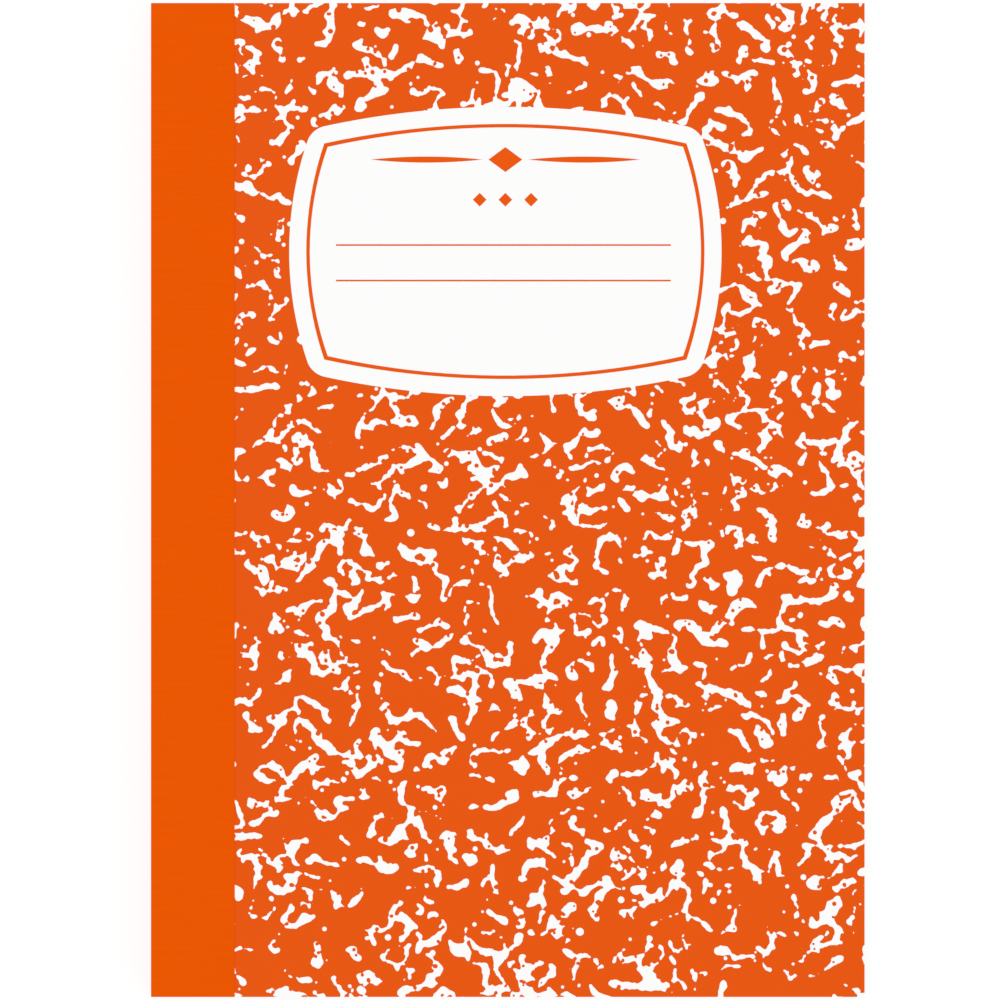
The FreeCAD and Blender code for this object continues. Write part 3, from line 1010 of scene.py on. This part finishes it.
def filledContours(field, x, y):
    # Triangles over the negative ground only. A triangle on the left of a contour line is in it, one on the
    # right is not, and the rest take after a neighbour across a side that isn't a contour.
    points, pairs = contourLines(field, x, y)
    scale = 1 / mm
    made = delaunay_2d_cdt([tuple(p) for p in points * scale], pairs.tolist(), [], 0, 1e-6, True)
    corners = np.array([tuple(p) for p in made[0]]) / scale
    triangles = np.array(made[2])
    renumber = np.full(len(points), -1)
    for new, olds in enumerate(made[3]):
        renumber[olds] = new
    lines = renumber[pairs]
    count = len(corners)
    key = lines[:, 0] * count + lines[:, 1]
    starts, ends = triangles, np.roll(triangles, -1, axis=1)
    forward, backward = starts * count + ends, ends * count + starts
    isLeft, isRight = np.isin(forward, key), np.isin(backward, key)
    state = np.where(isLeft.any(axis=1), 1, np.where(isRight.any(axis=1), -1, 0))
    order = np.argsort(forward.ravel())
    found = np.searchsorted(forward.ravel()[order], backward.ravel())
    found = np.minimum(found, forward.size - 1)
    match = order[found]
    valid = forward.ravel()[match] == backward.ravel()
    neighbour = np.where(valid & ~(isLeft | isRight).ravel(), match // 3, -1).reshape(-1, 3)
    for turn in range(200):  # each pass reaches the next triangles, and a few passes reach all
        unknown = np.nonzero(state == 0)[0]
        if len(unknown) == 0:
            break
        around = neighbour[unknown]
        states = np.where(around >= 0, state[around], 0)
        state[unknown] = np.sign(states.sum(axis=1))
    kept = triangles[state > 0]
    used, compact = np.unique(kept, return_inverse=True)
    return corners[used], compact.reshape(-1, 3)


# Label: its white field and writing rules, with finer outlines than the CAD's

# Lengths in millimetres, and the rules' widths in metres.
labelShape = {
    "border": 4.7,  # white outside the frame line's middle
    "sideBow": 4.475,
    "headBow": 4.85,
    "cornerRadius": 5.5,
    "cornerCosine": 0.508,  # of the angle between two sides' normals at a corner
    "ruleWidth": 0.39 * mm,
    "cadRuleWidth": 0.3 * mm,
}


def labelGround(x, y):
    # Millimetres inside the outline of the label's white field. Each side is an arc of chord 2c and bow b, with
    # the radius (c*c + b*b) / 2b, and the distance to an arc is its radius less the distance to its centre.
    middle, half = (labelLow + labelHigh) / 2, (labelHigh - labelLow) / 2 / mm
    border = labelShape["border"]
    halfX, halfY = half[0] - border, half[1] - border
    offX, offY = np.abs(x - middle[0]) / mm, np.abs(y - middle[1]) / mm
    sideBow, headBow = labelShape["sideBow"], labelShape["headBow"]
    sideRadius = ((halfY - headBow) ** 2 + sideBow**2) / (2 * sideBow)
    headRadius = ((halfX - sideBow) ** 2 + headBow**2) / (2 * headBow)
    toSide = border + sideRadius - np.hypot(offX - halfX + sideRadius, offY)
    toHead = border + headRadius - np.hypot(offX, offY - halfY + headRadius)
    # Inside a corner the distance is to an arc that touches both sides.
    radius, cosine = labelShape["cornerRadius"], labelShape["cornerCosine"]
    u, v = radius - toSide, radius - toHead
    atCorner = (u > v * cosine) & (v > u * cosine) & (u > 0) & (v > 0)
    toArc = radius - np.sqrt(np.maximum(u * u + v * v - 2 * u * v * cosine, 0) / (1 - cosine**2))
    return np.where(atCorner, toArc, np.minimum(toSide, toHead))


def buildLabel():
    pad = 0.5 * mm
    x = np.arange(labelLow[0] - pad, labelHigh[0] + pad, marbling["step"])
    y = np.arange(labelLow[1] - pad, labelHigh[1] + pad, marbling["step"])
    corners, triangles = filledContours(-labelGround(x[None], y[:, None]), x, y)
    points = np.column_stack([corners, np.full(len(corners), labelHigh[2])])
    return makePiece("labelWhite", points, triangles, paper["whitePrint"])


labelWhite = buildLabel()
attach(labelWhite, "front_cover")
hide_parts("label_field")

rulePoints = []
inset, half = labelShape["cadRuleWidth"] / 2, labelShape["ruleWidth"] / 2
for ruleY in (ruleLow[1] + inset, ruleHigh[1] - inset):
    low, high = ruleY - half, ruleY + half
    rulePoints += [(ruleLow[0], low), (ruleHigh[0], low), (ruleHigh[0], high), (ruleLow[0], high)]
rulePoints = [(x, y, ruleHigh[2]) for x, y in rulePoints]
writingRules = makePiece("writingRules", rulePoints, [[0, 1, 2, 3], [4, 5, 6, 7]], paper["labelInk"])
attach(writingRules, "front_cover")
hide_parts("label_writing_rules")
print("label printed:", len(labelWhite.data.polygons), "triangles")


def buildMarbling(name, seed, surfaceZ, side, aroundLabel):
    low, high = np.array([flapHigh[0], sheetLow[1]]), np.array([sheetHigh[0], sheetHigh[1]])
    field = marbledField(seed, low, high)
    rows, columns = field.shape
    x = np.linspace(low[0], high[0], columns)
    y = np.linspace(low[1], high[1], rows)
    if aroundLabel:
        field = np.maximum(field, labelGround(x[None], y[:, None]) - marbling["labelOverlap"])
    # A rim of positive ground closes the shapes at the sheet's edges.
    field = np.pad(field, 1, constant_values=1.0)
    stepX, stepY = x[1] - x[0], y[1] - y[0]
    wideX = np.concatenate([[x[0] - stepX], x, [x[-1] + stepX]])
    wideY = np.concatenate([[y[0] - stepY], y, [y[-1] + stepY]])
    corners, triangles = filledContours(field, wideX, wideY)
    corners = np.clip(corners, low, high)
    z = np.full(len(corners), surfaceZ)
    if side < 0:
        triangles = triangles[:, ::-1]
    return makePiece(name, np.column_stack([corners, z]), triangles, paper["whitePrint"])


frontMarbling = buildMarbling("frontMarbling", marbling["frontSeed"], sheetHigh[2] + marbling["lift"], 1, True)
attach(frontMarbling, "front_cover")
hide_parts("front_marbling")
backMarbling = buildMarbling("backMarbling", marbling["backSeed"], backSheetLow[2] - marbling["lift"], -1, False)
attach(backMarbling, "back_cover")
print("marbling printed:", len(frontMarbling.data.polygons), "and", len(backMarbling.data.polygons), "triangles")


# Floor

# A pale sheet over a light box
floor = {"size": 12.0, "gap": 0.00002, "colour": (0.22, 0.22, 0.22), "glow": 0.8}

floorMaterial, _, floorShader = newMaterial("paleFloor", 0.9, 0.0)
floorShader.inputs["Base Color"].default_value = (*floor["colour"], 1)
floorShader.inputs["Emission Color"].default_value = (1, 1, 1, 1)
floorShader.inputs["Emission Strength"].default_value = floor["glow"]
half = floor["size"] / 2
floorZ = cadLow.z - floor["gap"]
floorPoints = [(-half, -half, floorZ), (half, -half, floorZ), (half, half, floorZ), (-half, half, floorZ)]
floorPiece = makePiece("floor", floorPoints, [[0, 1, 2, 3]], floorMaterial)
floorPiece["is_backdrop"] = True
print("floor laid")

low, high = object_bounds()
